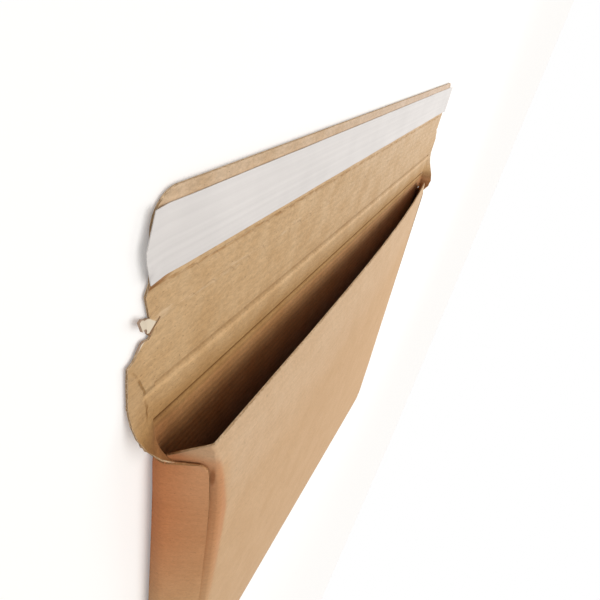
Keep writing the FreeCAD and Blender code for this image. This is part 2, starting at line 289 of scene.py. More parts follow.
def blend(tree, how, amount, first, second):
    """Mix two colours by a blend mode."""
    node = tree.nodes.new("ShaderNodeMix")
    node.data_type = "RGBA"
    node.blend_type = how
    for name, value in (("Factor", amount), ("A", first), ("B", second)):
        feed(tree, value, [i for i in node.inputs if i.name == name and i.enabled][0])
    return [o for o in node.outputs if o.enabled][0]


def tint(tree, colour, where, shade):
    """The colour times a shade, as far as where is 1."""
    return blend(tree, "MULTIPLY", where, colour, shade)


print("node helpers ready: sums, smooth, band, blend, tint")


# %% [markdown]
# ## One shader for each finish
#
# Paper, film and cut edge are all matt and opaque, so one shader with a colour and a height
# serves each. The height could be modelled. But fibres and flutes stand only hundredths of
# a millimetre high, and a Bump node that tilts the light looks the same at that size.

# %% Start and finish a material
def new_material(name, roughness, specular):
    """A material and its tree, with the plain values on the shader itself."""
    material = bpy.data.materials.new(name)
    material.use_nodes = True
    shader = material.node_tree.nodes["Principled BSDF"]
    shader.inputs["Roughness"].default_value = roughness
    shader.inputs["Specular IOR Level"].default_value = specular
    return material, material.node_tree, shader


def finish_material(tree, shader, colour, height):
    """Wire colour and height (in metres) into the shader."""
    bump = add(tree, "ShaderNodeBump", Strength=1.0, Distance=1.0)
    feed(tree, height, bump.inputs["Height"])
    feed(tree, colour, shader.inputs["Base Color"])
    feed(tree, bump, shader.inputs["Normal"])


print("material helpers ready: new_material, finish_material")


# %% [markdown]
# ## Places on the board
#
# The creases and tear rows are where the CAD model has them. They could be found on the
# mesh, but named distances from the flap's free edge are plainer. Naming them once keeps
# the paper, the soft arch of the spine band and the liner's ripples in step with the
# solids. Crease A parts the flap from the spine band, and crease B is the pocket's mouth.

# %% Places
liner_low, liner_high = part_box("release_liner")
CLOSED_END, FLAP_EDGE = (corner[1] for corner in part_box("board"))
FLAP_LENGTH = 58.0 * MM
SPINE_WIDTH = 15.0 * MM
CREASE_A = FLAP_EDGE - FLAP_LENGTH
CREASE_B = CREASE_A - SPINE_WIDTH
TEAR_LOW = CREASE_A + 23.5 * MM
TEAR_HIGH = CREASE_A + 33.3 * MM
SIDE = 176.5 * MM
BOARD_THICK = 1.5 * MM
print("creases at", round(CREASE_B, 4), "and", round(CREASE_A, 4), "m; liner from",
      round(liner_low[1], 4), "to", round(liner_high[1], 4))


# %% [markdown]
# ## Kraft paper
#
# The board's faces are kraft liner: unbleached fibre, matt, with darker and paler flecks
# and soft clouds where the fibre lies denser. Under it the flutes press through as fine
# parallel lines, the washboard. A picture of paper would repeat and needs unwrapping, so
# the layers are built from noise: clouds, then fibres, flecks and pale hairs.

# %% Layers of kraft paper
FLUTE_PITCH = 3.4 * MM
FLUTE_WANDER = 1.4 * MM
FIBRE_GRAIN = (500.0, 1300.0, 900.0)


def washboard(tree):
    """0 to 1 across the flutes, which run along X and wander a little."""
    wander = cloud(tree, (1.0, 1.0, 1.0), 20.0, 1.0)
    moved = sums(tree, "MULTIPLY_ADD", wander, FLUTE_WANDER, axis(tree, "Y"))
    turns = sums(tree, "MULTIPLY", moved, 2.0 * math.pi / FLUTE_PITCH)
    return sums(tree, "MULTIPLY_ADD", sums(tree, "SINE", turns), 0.5, 0.5)


def fibre_layers(tree, base, dark, pale, boldness=1.0):
    """The colour of kraft before anything is pressed into it."""
    clouds = smooth(tree, cloud(tree, (1.0, 1.0, 1.0), 70.0, 6.0, 0.68), 0.3, 0.7)
    colour = blend(tree, "MIX", 0.6 * boldness, base, blend(tree, "MIX", clouds, dark, pale))
    grain = cloud(tree, (620.0, 1300.0, 900.0), 1.0, 4.0, 0.7)
    colour = tint(tree, colour, boldness, smooth(tree, grain, 0.2, 0.8, 0.80, 1.13))
    flecks = smooth(tree, cloud(tree, (900.0, 1400.0, 1200.0)), 0.25, 0.36, 0.55, 1.0)
    colour = tint(tree, colour, 0.8 * boldness, flecks)
    hairs = smooth(tree, cloud(tree, (380.0, 1100.0, 800.0)), 0.66, 0.78, 0.0, 0.4 * boldness)
    return blend(tree, "MIX", hairs, colour, pale)


def fibre_height(tree, depth):
    """Fuzz of the paper's surface."""
    return sums(tree, "MULTIPLY", cloud(tree, FIBRE_GRAIN, 1.0, 3.0, 0.65), depth)


print("flutes from the mouth to the closed end:", round((CREASE_B - CLOSED_END) / FLUTE_PITCH))


# %% [markdown]
# ## The torn tab and the side strip
#
# The pull tab is torn to a paler layer, and so is the wedge between its slanted slits. The
# near side strip and its tab get painted shade, darker and redder by the mouth, up to a soft
# fold. Both could be painted on a map. A formula in the object's own millimetres stays sharp
# close up, and it moves with the named places.

# %% Torn tab and side strip
PULL_TAB = 4.6 * MM
SLIT_REACH = 4.0 * MM
SLIT_DROP = 3.5 * MM
STRIP_FOLD_SLANT = 0.19


def pull_end(tree):
    """1 on the pull tab and on its wedge of a root."""
    steep = SLIT_DROP / SLIT_REACH
    root_middle = TEAR_LOW + 0.5 * PULL_TAB - SLIT_DROP
    off = sums(tree, "ABSOLUTE", sums(tree, "SUBTRACT", axis(tree, "Y"), root_middle))
    wedge = sums(tree, "MULTIPLY_ADD", axis(tree, "X"), steep, off)
    edge = 0.5 * PULL_TAB - steep * SIDE
    return smooth(tree, wedge, edge - 0.3 * MM, edge + 0.3 * MM, 1.0, 0.0)


def side_strip(tree):
    """1 on the near side strip and its tab up to a soft fold, fading away from the mouth: where painted
    shade goes.
    """
    y = axis(tree, "Y")
    down = sums(tree, "MAXIMUM", y, CREASE_B - 40.0 * MM)
    slanted = sums(tree, "MULTIPLY_ADD", down, STRIP_FOLD_SLANT, axis(tree, "X"))
    fold = -SIDE + 9.0 * MM + STRIP_FOLD_SLANT * (CREASE_B - 8.5 * MM)
    return sums(tree, "MULTIPLY", smooth(tree, slanted, fold - 0.8 * MM, fold + 1.6 * MM, 1.0, 0.0),
                smooth(tree, y, CREASE_B - 130.0 * MM, CREASE_B - 35.0 * MM))


print("pull tab torn back to", round(TEAR_LOW + PULL_TAB - SLIT_DROP, 4), "m at the flap's side")


# %% [markdown]
# ## The risen ear and a dark spot
#
# Where an ear rises beside the flap the board hasn't been creased. It bends over a soft
# fold instead, and the inner paper buckles there into a broken wrinkle. The risen ear gets a
# faint painted light, and the wrinkle painted shade. Beside the near tab there is a soft dark
# spot. Both are too shallow to model, so they are masks: the wrinkle is darkened by painted
# shade and sinks into it, the spot only darkens the paper.

# %% Ear and dark spot
EAR_REACH = 28.0 * MM


def ear_fold(tree):
    """Metres outward from the soft fold where an ear rises beside the flap."""
    out = sums(tree, "SUBTRACT", sums(tree, "ABSOLUTE", axis(tree, "X")), SIDE)
    share = sums(tree, "MULTIPLY_ADD", axis(tree, "Y"), 1.0 / EAR_REACH, -CREASE_B / EAR_REACH)
    steep = sums(tree, "POWER", sums(tree, "MAXIMUM", share, 0.0), 3.5)
    return sums(tree, "SUBTRACT", out, sums(tree, "MULTIPLY_ADD", steep, 7.5 * MM, 0.9 * MM))


def risen_ear(tree):
    """Where the ears have risen, and the broken wrinkle along their fold: masks for painted light and
    painted shade.
    """
    wander = sums(tree, "MULTIPLY_ADD", cloud(tree, (1.0, 1.0, 1.0), 190.0, 2.0), 2.4 * MM, -1.2 * MM)
    outward = sums(tree, "ADD", ear_fold(tree), wander)
    beside = band(tree, axis(tree, "Y"), CREASE_B + 7.0 * MM, CREASE_B + 23.0 * MM, 5.0 * MM)
    broken = smooth(tree, cloud(tree, (1.0, 1.0, 1.0), 260.0, 2.0), 0.36, 0.60, 0.15, 1.0)
    broken = sums(tree, "MULTIPLY", beside, broken)
    wrinkle = sums(tree, "MULTIPLY", broken, band(tree, outward, -0.2 * MM, 0.1 * MM, 0.5 * MM))
    raised = sums(tree, "MULTIPLY", beside, smooth(tree, outward, 0.2 * MM, 1.2 * MM))
    return raised, wrinkle


def dark_spot(tree):
    """1 on a soft dark oval on the side strip, beside the near tab's edge."""
    x, y, z = axis(tree, "X"), axis(tree, "Y"), axis(tree, "Z")
    along = sums(tree, "DIVIDE", sums(tree, "SUBTRACT", y, CREASE_B - 18.5 * MM), 5.5 * MM)
    up = sums(tree, "DIVIDE", sums(tree, "SUBTRACT", z, 20.7 * MM), 1.1 * MM)
    square = sums(tree, "ADD", sums(tree, "POWER", along, 2.0), sums(tree, "POWER", up, 2.0))
    near_side = band(tree, x, -SIDE + 8.0 * MM, -SIDE + 14.0 * MM, 0.6 * MM)
    return sums(tree, "MULTIPLY", smooth(tree, square, 0.1, 1.0, 1.0, 0.0), near_side)


print("the ears rise over", round(EAR_REACH / MM), "mm of the sheet's side")


# %% [markdown]
# ## Zones of the inside
#
# The inside is the face of the pocket, the spine band and the flap. Its light and shade are
# partly painted: painted shade darkens the spine band towards the mouth, the deep pocket and
# the nooks by the ends, and painted light makes the pocket below the mouth, the flap, its
# margin and the far end paler. One flat colour would look like plastic. Each zone tints the
# paper below it, so you can take one out and see what it did.

# %% Zones of the inside
def zone_light_and_shade(tree, colour):
    """Painted light and painted shade on the inside, zone by zone."""
    x, y = axis(tree, "X"), axis(tree, "Y")
    # Painted light: paler towards the far end.
    lit_far_end = smooth(tree, x, -SIDE, 0.6 * SIDE)
    colour = tint(tree, colour, 1.0, blend(tree, "MIX", lit_far_end, (0.97, 0.93, 0.86), (1.06, 1.11, 1.24)))
    # Painted light: paler up the flap.
    up_the_flap = smooth(tree, y, CREASE_A, liner_low[1])
    colour = tint(tree, colour, up_the_flap, (1.06, 1.10, 1.18))
    # Painted shade: darker down the spine band towards the mouth and into the pocket.
    below_the_flap = smooth(tree, y, CREASE_B - 1.0 * MM, CREASE_A + 1.0 * MM, 1.0, 0.0)
    colour = tint(tree, colour, below_the_flap, (0.78, 0.68, 0.51))
    # Painted light: the pocket lifted paler again a few millimetres below the mouth.
    pocket = smooth(tree, y, CREASE_B - 6.0 * MM, CREASE_B - 1.0 * MM, 1.0, 0.0)
    colour = tint(tree, colour, pocket, (1.38, 1.27, 1.32))
    # Painted shade: darker deep in the pocket.
    deep = smooth(tree, y, CREASE_B - 50.0 * MM, CREASE_B - 22.0 * MM, 1.0, 0.0)
    colour = tint(tree, colour, deep, (0.60, 0.66, 0.95))
    # Painted light: the flap's margin above the liner paler.
    margin = smooth(tree, y, liner_high[1] - 1.0 * MM, liner_high[1])
    colour = tint(tree, colour, margin, (1.06, 1.14, 1.36))
    # Painted shade: darker in the nooks by the ends, at the mouth.
    to_the_ends = smooth(tree, sums(tree, "ABSOLUTE", x), SIDE - 22.0 * MM, SIDE - 4.0 * MM)
    by_the_mouth = smooth(tree, y, CREASE_B - 4.0 * MM, CREASE_B + 4.0 * MM, 1.0, 0.0)
    return tint(tree, colour, sums(tree, "MULTIPLY", to_the_ends, by_the_mouth), (0.66, 0.58, 0.54))


print("the liner's margin is", round((FLAP_EDGE - liner_high[1]) / MM, 1), "mm wide")


# %% [markdown]
# ## Creases, tear rows and the liner's shade
#
# A crease is drawn as a painted shade line in its groove, with a painted highlight on the
# shoulder on its mouth side. The lower tear row is scuffed pale, and along the upper one runs
# a darker ragged line: the torn row, with painted shade from the liner's edge above it. The
# solid has the grooves and the cuts, but fine lines like these need a change of colour to be
# seen. The near end of the liner is cut askew and throws a thin shade, which is painted.

# %% Lines on the inside
def creased(tree, colour):
    """The two creases: painted shade along the groove and a painted highlight on the shoulder on its mouth
    side.
    """
    y, sideways = axis(tree, "Y"), sums(tree, "ABSOLUTE", axis(tree, "X"))
    looks = ((CREASE_A, SIDE + 1.5 * MM, (0.74, 0.72, 0.68), (1.18, 1.19, 1.20)),
             (CREASE_B, SIDE - 3.5 * MM, (0.44, 0.36, 0.25), (1.12, 1.11, 1.08)))
    for crease, reach, dark, pale in looks:
        along = smooth(tree, sideways, reach, reach + 1.5 * MM, 1.0, 0.0)
        # Painted shade along the crease's groove.
        pressed = band(tree, y, crease - 0.3 * MM, crease + 0.3 * MM, 0.8 * MM)
        colour = tint(tree, colour, sums(tree, "MULTIPLY", along, pressed), dark)
        # Painted highlight on the shoulder, on the mouth side.
        shoulder = band(tree, y, crease - 2.2 * MM, crease - 1.4 * MM, 1.0 * MM)
        colour = tint(tree, colour, sums(tree, "MULTIPLY", along, shoulder), pale)
    return colour


def scuffed(tree, colour):
    """Pale scuffs on the lower tear row, a darker ragged line along the upper one with painted shade from
    the liner's edge, and the torn tab.
    """
    y = axis(tree, "Y")
    ragged = smooth(tree, cloud(tree, (90.0, 700.0, 1.0), 1.0, 3.0), 0.52, 0.68)
    row = band(tree, y, TEAR_LOW - 1.2 * MM, TEAR_LOW + 1.2 * MM, 1.0 * MM)
    scuffs = sums(tree, "MULTIPLY", 0.4, sums(tree, "MULTIPLY", row, ragged))
    colour = blend(tree, "MIX", scuffs, colour, (0.68, 0.52, 0.35))
    # The torn upper row, darkened by painted shade from the liner's edge above it.
    under = band(tree, y, TEAR_HIGH - 0.3 * MM, TEAR_HIGH + 0.3 * MM, 0.9 * MM)
    worn = smooth(tree, cloud(tree, (160.0, 900.0, 1.0), 1.0, 2.0), 0.4, 0.6)
    colour = tint(tree, colour, sums(tree, "MULTIPLY", under, worn), (0.78, 0.68, 0.56))
    return blend(tree, "MIX", pull_end(tree), colour, (0.74, 0.64, 0.50))


def liner_shade(tree):
    """1 on the thin shade under the near end of the liner, which is cut askew."""
    x, y = axis(tree, "X"), axis(tree, "Y")
    level = sums(tree, "SUBTRACT", sums(tree, "MULTIPLY_ADD", x, -0.175, y), 0.175 * SIDE)
    return sums(tree, "MULTIPLY", smooth(tree, x, -SIDE + 4.0 * MM, -SIDE + 10.0 * MM, 1.0, 0.0),
                band(tree, level, FLAP_EDGE - 24.7 * MM, FLAP_EDGE - 23.2 * MM, 0.5 * MM))


print("tear rows at", round(TEAR_LOW, 4), "and", round(TEAR_HIGH, 4), "m")


# %% [markdown]
# ## The inside of the sheet
#
# Now the layers come together: fibres, then the washboard with painted shade in its troughs,
# which is plainest in the pocket, then the zones of painted light and shade, the creases'
# painted shade and highlight, the wrinkle's painted shade, scuffs and the liner's painted
# shade. The order matters, as on the real sheet: what was pressed or torn last lies on top.
# All could be one long list of nodes. Named steps show which part of the look comes from
# where.

# %% Kraft inside
def kraft_inside():
    """The face of the pocket, the spine band and the flap."""
    paper, tree, shader = new_material("kraft_inside", 0.85, 0.2)
    colour = fibre_layers(tree, (0.580, 0.380, 0.203), (0.505, 0.318, 0.155), (0.640, 0.450, 0.262))
    # Painted shade in the washboard's troughs, twice as deep in the pocket.
    flutes = washboard(tree)
    pocket = smooth(tree, axis(tree, "Y"), CREASE_B - 1.0 * MM, CREASE_B, 1.0, 0.0)
    depth = sums(tree, "MULTIPLY_ADD", pocket, 0.06, 0.06)
    colour = tint(tree, colour, 1.0, sums(tree, "SUBTRACT", 1.0, sums(tree, "MULTIPLY", depth, flutes)))
    # Painted light and shade by zone, then painted shade and highlight at the creases.
    colour = creased(tree, zone_light_and_shade(tree, colour))
    raised, wrinkle = risen_ear(tree)
    # Faint painted light on the risen ear, painted shade in its wrinkle.
    colour = tint(tree, colour, raised, (0.98, 0.99, 1.02))
    colour = tint(tree, colour, wrinkle, (0.66, 0.58, 0.46))
    colour = scuffed(tree, colour)
    colour = tint(tree, colour, liner_shade(tree), (0.60, 0.48, 0.40))
    ridges = sums(tree, "MULTIPLY", flutes, sums(tree, "MULTIPLY_ADD", pocket, 0.02 * MM, 0.05 * MM))
    ridges = sums(tree, "MULTIPLY_ADD", wrinkle, 0.3 * MM, ridges)
    finish_material(tree, shader, colour, sums(tree, "SUBTRACT", fibre_height(tree, 0.09 * MM), ridges))
    return paper


papers = [kraft_inside()]
print("first paper:", papers[0].name, "with", len(papers[0].node_tree.nodes), "nodes")


# %% [markdown]
# ## The outside of the sheet
#
# The outside has the smoother liner, with the flutes only faintly through it, their troughs
# darkened by painted shade. It is a little pinker than the inside. Painted light makes it
# paler by the mouth, and painted shade darker away from it, at the near corner below the
# mouth, and darkest and reddest on the near side strip and tab. It could share the inside's
# material with a switch. Two materials are plainer, as hardly anything but the fibres is the
# same.

# %% Kraft outside
def kraft_outside():
    """The face of the front panel, the closed end, the side tabs and the back."""
    paper, tree, shader = new_material("kraft_outside", 0.75, 0.25)
    x, y, z = axis(tree, "X"), axis(tree, "Y"), axis(tree, "Z")
    warm, dark, pale = (0.600, 0.398, 0.230), (0.545, 0.350, 0.192), (0.660, 0.465, 0.290)
    colour = fibre_layers(tree, warm, dark, pale, 0.6)
    # Painted light by the mouth, painted shade away from it.
    low_down = smooth(tree, y, CREASE_B - 60.0 * MM, CREASE_B - 6.0 * MM, 1.0, 0.0)
    colour = tint(tree, colour, 1.0, blend(tree, "MIX", low_down, (1.03, 1.06, 1.12), (0.97, 0.93, 0.88)))
    # Painted shade at the near corner below the mouth.
    corner_shade = sums(tree, "MULTIPLY", smooth(tree, x, -SIDE + 9.0 * MM, -SIDE + 19.0 * MM, 1.0, 0.0),
                  smooth(tree, y, CREASE_B - 16.0 * MM, CREASE_B - 9.0 * MM, 1.0, 0.3))
    colour = tint(tree, colour, corner_shade, (0.97, 0.88, 0.77))
    # Painted shade, warm and red, on the near side strip and its tab.
    red = sums(tree, "MULTIPLY", side_strip(tree), smooth(tree, z, 2.0 * MM, 22.0 * MM, 1.0, 0.55))
    red = sums(tree, "MULTIPLY", red, smooth(tree, y, CREASE_B - 12.0 * MM, CREASE_B - 8.0 * MM, 1.0, 0.3))
    colour = tint(tree, colour, red, (0.93, 0.55, 0.37))
    colour = tint(tree, colour, dark_spot(tree), (0.66, 0.55, 0.45))
    # Painted shade in the washboard's troughs.
    flutes = washboard(tree)
    colour = tint(tree, colour, 1.0, sums(tree, "MULTIPLY_ADD", flutes, -0.03, 1.0))
    height = sums(tree, "MULTIPLY_ADD", flutes, -0.02 * MM, fibre_height(tree, 0.04 * MM))
    finish_material(tree, shader, colour, height)
    return paper


papers.append(kraft_outside())
print("second paper:", papers[1].name, "with", len(papers[1].node_tree.nodes), "nodes")


# %% [markdown]
# ## The cut edge
#
# Where the sheet is cut you see what it is made of: two thin liners with a wavy medium
# between them. The wave shows on the edges that cross the flutes, at the sides. The edges
# that run with the flutes show the medium as one ragged brown line. The wave could be
# modelled, but it is finer than a millimetre and runs round the whole sheet. A material
# draws it at no cost. Two numbers stored on the mesh tell it where it is: how far across
# the thickness, and whether the edge crosses the flutes.

# %% Cut edge
def cut_edge():
    """Two liners, a fluted medium and shade in the hollows."""
    paper, tree, shader = new_material("cut_edge", 0.95, 0.1)
    across = add(tree, "ShaderNodeAttribute")
    across.attribute_name = "across"
    crossing = add(tree, "ShaderNodeAttribute")
    crossing.attribute_name = "crossing"
    across, crossing = across.outputs["Fac"], crossing.outputs["Fac"]
    colour = fibre_layers(tree, (0.72, 0.51, 0.32), (0.60, 0.41, 0.24), (0.82, 0.63, 0.43))

    off_middle = sums(tree, "ABSOLUTE", sums(tree, "SUBTRACT", across, 0.5))
    fluff = sums(tree, "MULTIPLY", 0.12, cloud(tree, (900.0, 900.0, 900.0), 1.0, 2.0))
    liners = smooth(tree, sums(tree, "ADD", off_middle, fluff), 0.38, 0.46)
    wave = sums(tree, "MULTIPLY_ADD", washboard(tree), 0.72, 0.14)
    off_wave = sums(tree, "ABSOLUTE", sums(tree, "SUBTRACT", across, wave))
    medium = smooth(tree, off_wave, 0.07, 0.16, 1.0, 0.0)
    ragged = smooth(tree, cloud(tree, (700.0, 700.0, 700.0), 1.0, 3.0), 0.4, 0.6)
    body = blend(tree, "MIX", crossing, ragged, medium)
    solid = sums(tree, "MAXIMUM", liners, body)
    hollows = blend(tree, "MIX", crossing, (0.56, 0.38, 0.22), (0.38, 0.24, 0.13))
    colour = blend(tree, "MIX", solid, hollows, colour)
    colour = blend(tree, "MIX", pull_end(tree), colour, (0.52, 0.36, 0.26))
    # Painted shade on the cut edge of the near tab below the mouth.
    below_the_mouth = smooth(tree, axis(tree, "Y"), CREASE_B - 12.0 * MM, CREASE_B - 8.0 * MM, 1.0, 0.0)
    tab_edge = sums(tree, "MULTIPLY", side_strip(tree), below_the_mouth)
    colour = tint(tree, colour, tab_edge, (0.80, 0.60, 0.44))
    finish_material(tree, shader, colour, sums(tree, "MULTIPLY", solid, 0.2 * MM))
    return paper


papers.append(cut_edge())
print("third paper:", papers[2].name, "with", len(papers[2].node_tree.nodes), "nodes")


# %% [markdown]
# ## Inside, outside or cut edge
#
# One sheet of board has three looks, and each face of the model needs one of them. They
# could be picked by hand. A rule is safer, because it holds when the solid changes. The
# frame gives the board as loose triangles, so the copy joins them first. A face with the
# sheet's other side right behind it is skin, and so are the walls of the creases that are
# pressed into it. Any other face is cut edge. Skin that looks towards the pocket, or up
# from the flap, is the inside.

# %% Sort the board's faces
INSIDE, OUTSIDE, EDGE = range(3)
SAME_PLACE = 0.001 * MM
POCKET_HALF = 140.0 * MM
POCKET_UP = 4.0 * MM
JUST_INSIDE = 0.002 * MM


def joined(part):
    """The part's triangles, joined."""
    shape = bmesh.new()
    shape.from_mesh(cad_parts[part].data)
    bmesh.ops.remove_doubles(shape, verts=shape.verts, dist=SAME_PLACE)
    bmesh.ops.dissolve_degenerate(shape, edges=shape.edges, dist=SAME_PLACE)
    shape.normal_update()
    return shape


def sort_faces(shape):
    """Give each face its paper, and store what the cut edge's material needs to know."""
    behind = BVHTree.FromBMesh(shape)
    for face in shape.faces:
        centre = face.calc_center_median()
        hit = behind.ray_cast(centre - face.normal * JUST_INSIDE, -face.normal)
        pressed_in = face.normal.z > 0.25 and centre.z < BOARD_THICK + 0.1 * MM
        if not pressed_in and (hit[0] is None or hit[3] > 1.3 * BOARD_THICK):
            face.material_index = EDGE
            continue
        across_pocket = min(max(centre.x, -POCKET_HALF), POCKET_HALF)
        middle = Vector((across_pocket, max(centre.y, -POCKET_HALF), POCKET_UP))
        face.material_index = INSIDE if face.normal.dot(middle - centre) > 0.0 else OUTSIDE
    across = shape.verts.layers.float.new("across")
    for vert in shape.verts:
        papers_here = {face.material_index for face in vert.link_faces}
        vert[across] = 0.5 + 0.5 * (INSIDE in papers_here) - 0.5 * (OUTSIDE in papers_here)
    crossing = shape.faces.layers.float.new("crossing")
    for face in shape.faces:
        face[crossing] = 1.0 if abs(face.normal.x) > 0.7 else 0.0


board_shape = joined("board")
sort_faces(board_shape)
print("board faces inside, outside, edge:",
      [sum(face.material_index == kind for face in board_shape.faces) for kind in range(3)])


# %% [markdown]
# ## A sheet that has been folded
#
# Folded board is never quite flat: the spine band arches a little between its creases, the
# flap lies a touch unevenly, and the top corner of each ear is worn hollow. The large faces
# have no points in them to move, so planes cut them first. A subdivision would do that too,
# but it would round the creases. A plane only adds points.

# %% Slices, and how the sheet lies
SLICE_MERGE = 0.0001 * MM


def slice_at(shape, letter, places_at):
    """Cut the whole mesh by planes square to one axis; nothing is taken away."""
    normal = Vector([1.0 if letter == name else 0.0 for name in "xyz"])
    for where in places_at:
        everything = shape.verts[:] + shape.edges[:] + shape.faces[:]
        bmesh.ops.bisect_plane(shape, geom=everything, dist=SLICE_MERGE,
                               plane_co=normal * where, plane_no=normal)


def ramp(value, low, high):
    """A soft step from 0 to 1 while the value goes from low to high."""
    share = min(1.0, max(0.0, (value - low) / (high - low)))
    return share * share * (3.0 - 2.0 * share)


def lie(x, y):
    """How far the flat sheet lifts: an arch in the spine band and an uneven flap."""
    ends = 1.0 - ramp(abs(x), SIDE - 15.0 * MM, SIDE - 3.0 * MM)
    share = (y - CREASE_B) / SPINE_WIDTH
    arch = 0.8 * MM * math.sin(math.pi * share ** 1.5) ** 0.8 if 0.0 < share < 1.0 else 0.0
    beyond = min(1.0, max(0.0, (y - CREASE_A) / (12.0 * MM)))
    slow = noise.noise(Vector((x * 14.0, y * 26.0, 3.0)))
    return ends * arch + beyond * ends * 0.35 * MM * max(0.0, 0.45 + slow)


def ear_droop(x, y):
    """How far the top corner of an ear has worn down, so its slanted edge is hollow."""
    out = abs(x) - SIDE
    worn = 3.0 * MM * ramp(out, 2.2 * MM, 6.0 * MM) - 0.3 * MM * ramp(out, 6.0 * MM, 8.0 * MM)
    return worn * ramp(y, CREASE_A + 1.0 * MM, CREASE_A + 15.0 * MM)


slice_at(board_shape, "x", [12.0 * MM * i for i in range(-14, 15)])
slice_at(board_shape, "x", [side * (SIDE + 1.0 * MM * i) for side in (-1.0, 1.0) for i in range(1, 8)])
slice_at(board_shape, "x", [-SIDE + 2.0 * MM, -SIDE + 0.05 * MM])
slice_at(board_shape, "y", [CREASE_B + SPINE_WIDTH * i / 10.0 for i in range(11)])
slice_at(board_shape, "y", [CREASE_A + 6.0 * MM * i for i in range(1, 10)])
print("spine band arches by", round(max(lie(0.0, CREASE_B + SPINE_WIDTH * i / 10.0)
                                        for i in range(11)) / MM, 2), "mm")


# %% [markdown]
# ## The pull tab and the end of the tear strip
#
# A small tab at the near side starts the tear strip. Its two slits have torn slantwise
# down to the flap's side, its end is torn askew, and above it the side has worked out a
# little. Displacement in the material would tear the mesh open at the slits, so the points
# are moved by short formulas that fade out over a few millimetres. Some more slices give
# them points at the bends.

# %% Torn tab
BULGE_REACH = 6.0 * MM
BULGE_OUT = 1.5 * MM
BULGE_LOW, BULGE_TOP, BULGE_HIGH = (TEAR_LOW + up * MM for up in (4.8, 8.0, 11.2))


def tear_askew(vert):
    """The loose end of the pull tab is torn a little askew."""
    beyond = ramp(-vert.co.x - SIDE, 0.8 * MM, 2.5 * MM)
    share = (vert.co.y - TEAR_LOW) / PULL_TAB
    if beyond > 0.0 and -0.05 < share < 1.05:
        vert.co.x -= beyond * (1.2 * share - 0.9) * MM
        vert.co.y -= beyond * 1.2 * share * MM


def peak(value, low, top, high):
    """1 at the top and 0 at low and high, straight between them."""
    return max(0.0, min((value - low) / (top - low), (high - value) / (high - top)))


def strip_bulge(x, y):
    """How far the end of the tear strip has worked out of the flap's near side."""
    out = ramp(-x, SIDE - BULGE_REACH, SIDE) * (x > -SIDE - 0.1 * MM)
    return BULGE_OUT * out * peak(y, BULGE_LOW, BULGE_TOP, BULGE_HIGH)


def slit_slant(x, y):
    """How far the slits beside the tab, and the tab's root, have torn down."""
    out = ramp(-x, SIDE - SLIT_REACH, SIDE) * ramp(x, -SIDE - SLIT_REACH, -SIDE)
    near = ramp(y, TEAR_LOW - 8.0 * MM, TEAR_LOW - 0.3 * MM) * ramp(-y, -BULGE_TOP, -BULGE_LOW)
    return SLIT_DROP * out * near


slice_at(board_shape, "y", [BULGE_LOW, BULGE_TOP, BULGE_HIGH])
board_shape.normal_update()
print("board cut into", len(board_shape.faces), "faces")


# %% [markdown]
# ## Pressed edges and sprung slits
#
# A die cuts board by crushing it first, so a cut edge is thinner than the sheet behind it.
# The slits of the tear rows have sprung nearly shut. Scaling the edge faces would pull the
# corners askew. Each point is pressed from the outside of the sheet towards the inside
# instead, by a share that fades out with its distance from the nearest cut.

# %% Press the cut edges and close the slits
TEAR_MIDDLE = 0.5 * (TEAR_LOW + TEAR_HIGH)
TEAR_ROOM = 9.0 * MM


def skin_way(vert):
    """The direction from the sheet's outside to its inside at this point."""
    way = Vector()
    for face in vert.link_faces:
        if face.material_index != EDGE:
            way += face.normal * face.calc_area() * (1.0 if face.material_index == INSIDE else -1.0)
    return way.normalized()


def nearest_cut(shape):
    """A tree that finds the nearest place on the cut edge."""
    shape.verts.index_update()
    cut_faces = [face for face in shape.faces if face.material_index == EDGE]
    return BVHTree.FromPolygons([vert.co for vert in shape.verts],
                                [[vert.index for vert in face.verts] for face in cut_faces])


def press_cut_edges(shape):
    """Press the sheet thin where it was cut, the flap and ears the most."""
    across = shape.verts.layers.float["across"]
    cut = nearest_cut(shape)
    ways = [skin_way(vert) for vert in shape.verts]
    deepest = 0.0
    for vert in shape.verts:
        way = ways[vert.index]
        if way.length == 0.0:
            beside = (ways[edge.other_vert(vert).index] for edge in vert.link_edges)
            way = sum(beside, Vector()).normalized()
        share = 0.3 + 0.2 * ramp(vert.co.y, CREASE_B - 10.0 * MM, CREASE_B)
        fading = 1.0 - ramp(cut.find_nearest(vert.co)[3], 0.1 * MM, 3.0 * MM)
        step = way * share * fading * BOARD_THICK * (1.0 - vert[across])
        vert.co += step
        deepest = max(deepest, step.length)
    return deepest


def close_slits(shape):
    """Move the walls of the tear rows' slits together, some more than others."""
    moved = 0
    for vert in shape.verts:
        if abs(vert.co.x) < SIDE - 1.0 * MM and abs(vert.co.y - TEAR_MIDDLE) < TEAR_ROOM:
            step = Vector((0.0, 0.0, 0.0))
            for face in vert.link_faces:
                if face.material_index == EDGE and step.dot(face.normal) < 0.5:
                    step += face.normal
            vert.co += step * (0.11 + 0.035 * noise.noise(vert.co * 40.0)) * MM
            moved += step.length > 0.0
    return moved


print("points moved to close the slits:", close_slits(board_shape))
print(f"cut edges pressed in by up to {press_cut_edges(board_shape) / MM:.2f} mm")


# %% [markdown]
# ## The board, dressed
#
# Now the formulas move the points, and the copy becomes an object with the three papers.
# It takes the place of the board's plain solid in the picture. Smooth shading with sharp
# edges by angle keeps the creases crisp. Rounding every edge would add many faces for
# little, so the normals are weighted by face area instead, which keeps the large panels
# evenly shaded.

# %% Board
HAIR = 0.1 * MM

